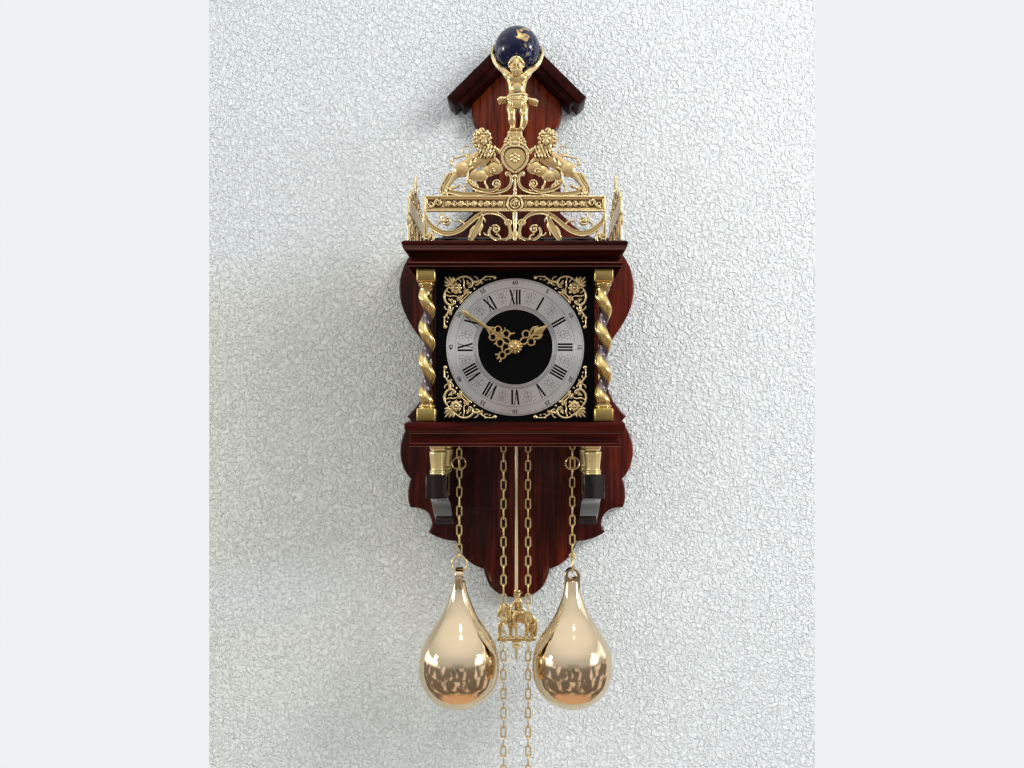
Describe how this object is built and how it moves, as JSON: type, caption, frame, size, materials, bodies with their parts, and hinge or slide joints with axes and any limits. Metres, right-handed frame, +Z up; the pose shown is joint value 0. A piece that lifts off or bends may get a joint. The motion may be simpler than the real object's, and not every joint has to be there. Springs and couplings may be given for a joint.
{
  "type": "zaanse clock",
  "caption": "Wall clock with a scalloped wooden backboard, hooded case on twisted brass columns, pierced brass frets, chain-driven movement, pear weights and a short pendulum.",
  "frame": {"origin": "on the centre line of the backboard's back face, which lies on the wall, level with the top of the shelf", "axes": "+Y into the wall, +Z up, +X to the right as seen from the front; the clock faces -Y"},
  "size_m": [0.25, 0.1683, 0.7717],
  "materials": {
    "mahogany": "glossy lacquer",
    "dark_mahogany": "glossy lacquer",
    "gold_brass": "satin cast",
    "antique_brass": "brushed, with dark patina in the grooves",
    "pale_brass": "mirror polished",
    "movement_brass": "satin",
    "silvered": "circular brushed",
    "black_dial": "fine matt grain",
    "blue_enamel": "glossy enamel",
    "steel": "satin",
    "bell_metal": "satin"
  },
  "bodies": {
    "case": {"backboard": "mahogany", "hanger_strip": "steel", "roof_board_left": "mahogany", "roof_board_right": "mahogany", "shelf_board": "mahogany", "shelf_moulding": "mahogany", "bracket_arm_left": "dark_mahogany", "bracket_arm_right": "dark_mahogany", "vase_front_left": "antique_brass", "vase_front_right": "antique_brass", "vase_rear_left": "antique_brass", "vase_rear_right": "antique_brass", "column_front_left": "antique_brass", "column_front_right": "antique_brass", "column_rear_left": "antique_brass", "column_rear_right": "antique_brass", "hood_cornice": "mahogany", "hood_board": "mahogany", "dial_plate": "black_dial", "chapter_ring": "silvered", "spandrel_top_left": "gold_brass", "spandrel_top_right": "gold_brass", "spandrel_bottom_left": "gold_brass", "spandrel_bottom_right": "gold_brass", "back_plate": "movement_brass", "front_plate": "movement_brass", "bell": "bell_metal", "front_fret": "gold_brass", "atlas_figure": "gold_brass", "globe": "blue_enamel", "side_fret_left": "gold_brass", "side_fret_right": "gold_brass"},
    "door_left": {"side_door_left": "mahogany", "door_knob_left": "antique_brass"},
    "door_right": {"side_door_right": "mahogany", "door_knob_right": "antique_brass"},
    "minute": {"centre_wheel": "movement_brass", "minute_hand": "gold_brass", "hand_nut": "gold_brass"},
    "hour": {"hour_wheel": "movement_brass", "hour_hand": "gold_brass"},
    "motion": {"motion_wheel": "movement_brass"},
    "third": {"third_wheel": "movement_brass"},
    "escape": {"escape_wheel": "movement_brass"},
    "going_great": {"great_wheel_left": "movement_brass"},
    "strike_great": {"great_wheel_right": "movement_brass"},
    "strike": {"strike_wheel": "movement_brass"},
    "anchor": {"anchor": "steel"},
    "pendulum": {"pendulum_rod": "gold_brass", "pendulum_bob": "gold_brass"},
    "hammer": {"hammer": "steel"},
    "sprocket_left": {"sprocket_left": "movement_brass"},
    "sprocket_right": {"sprocket_right": "movement_brass"},
    "weight_left": {"weight_chain_left": "pale_brass", "weight_left": "pale_brass"},
    "weight_right": {"weight_chain_right": "pale_brass", "weight_right": "pale_brass"},
    "free_left": {"free_chain_left": "pale_brass"},
    "free_right": {"free_chain_right": "pale_brass"}
  },
  "joints": [
    {"name": "door_left_hinge", "type": "hinge", "parent": "case", "child": "door_left", "pos_m": [-0.075, -0.04656, 0.069], "axis": [0, 0, -1], "range_deg": [0, 95]},
    {"name": "door_right_hinge", "type": "hinge", "parent": "case", "child": "door_right", "pos_m": [0.075, -0.04656, 0.069], "axis": [0, 0, 1], "range_deg": [0, 95]},
    {"name": "minute_turn", "type": "hinge", "parent": "case", "child": "minute", "pos_m": [0, -0.1, 0.069], "axis": [0, 1, 0], "continuous": true},
    {"name": "hour_turn", "type": "hinge", "parent": "case", "child": "hour", "pos_m": [0, -0.13, 0.069], "axis": [0, 1, 0], "continuous": true},
    {"name": "motion_turn", "type": "hinge", "parent": "case", "child": "motion", "pos_m": [0, -0.12, 0.04865], "axis": [0, 1, 0], "continuous": true},
    {"name": "third_turn", "type": "hinge", "parent": "case", "child": "third", "pos_m": [0, -0.09, 0.09275], "axis": [0, 1, 0], "continuous": true},
    {"name": "escape_turn", "type": "hinge", "parent": "case", "child": "escape", "pos_m": [0, -0.09, 0.1115], "axis": [0, 1, 0], "continuous": true},
    {"name": "going_great_turn", "type": "hinge", "parent": "case", "child": "going_great", "pos_m": [-0.0336, -0.09, 0.07], "axis": [0, 1, 0], "continuous": true},
    {"name": "strike_great_turn", "type": "hinge", "parent": "case", "child": "strike_great", "pos_m": [0.0336, -0.09, 0.07], "axis": [0, 1, 0], "continuous": true},
    {"name": "strike_turn", "type": "hinge", "parent": "case", "child": "strike", "pos_m": [0.0336, -0.09, 0.09975], "axis": [0, 1, 0], "continuous": true},
    {"name": "pendulum_swing", "type": "hinge", "parent": "case", "child": "pendulum", "pos_m": [0, -0.036, 0.1257], "axis": [0, 1, 0], "range_deg": [-3.5, 3.5]},
    {"name": "anchor_rock", "type": "hinge", "parent": "case", "child": "anchor", "pos_m": [0, -0.087, 0.1257], "axis": [0, 1, 0], "range_deg": [-3.5, 3.5]},
    {"name": "hammer_lift", "type": "hinge", "parent": "case", "child": "hammer", "pos_m": [0.054, -0.04, 0.078], "axis": [0, 1, 0], "range_deg": [0, 8]},
    {"name": "weight_left_slide", "type": "slide", "parent": "case", "child": "weight_left", "axis": [0, 0, 1], "range_m": [-0.05, 0.012]},
    {"name": "free_left_slide", "type": "slide", "parent": "case", "child": "free_left", "axis": [0, 0, 1], "range_m": [-0.012, 0.05]},
    {"name": "sprocket_left_turn", "type": "hinge", "parent": "case", "child": "sprocket_left", "pos_m": [-0.0336, -0.09, 0.07], "axis": [0, 1, 0], "range_deg": [-133, 32]},
    {"name": "weight_right_slide", "type": "slide", "parent": "case", "child": "weight_right", "axis": [0, 0, 1], "range_m": [-0.05, 0.012]},
    {"name": "free_right_slide", "type": "slide", "parent": "case", "child": "free_right", "axis": [0, 0, 1], "range_m": [-0.012, 0.05]},
    {"name": "sprocket_right_turn", "type": "hinge", "parent": "case", "child": "sprocket_right", "pos_m": [0.0336, -0.09, 0.07], "axis": [0, 1, 0], "range_deg": [-32, 133]}
  ],
  "couplings": [
    {"joint": "hour_turn", "follows": "minute_turn", "ratio": 0.083333},
    {"joint": "motion_turn", "follows": "minute_turn", "ratio": -0.33333},
    {"joint": "third_turn", "follows": "minute_turn", "ratio": -5.8823},
    {"joint": "escape_turn", "follows": "minute_turn", "ratio": 25.952},
    {"joint": "going_great_turn", "follows": "minute_turn", "ratio": -0.1139},
    {"joint": "strike_turn", "follows": "strike_great_turn", "ratio": -7.6471},
    {"joint": "anchor_rock", "follows": "pendulum_swing", "ratio": 1},
    {"joint": "free_left_slide", "follows": "weight_left_slide", "ratio": -1},
    {"joint": "sprocket_left_turn", "follows": "weight_left_slide", "rad_per_m": 46.296},
    {"joint": "free_right_slide", "follows": "weight_right_slide", "ratio": -1},
    {"joint": "sprocket_right_turn", "follows": "weight_right_slide", "rad_per_m": -46.296}
  ]
}
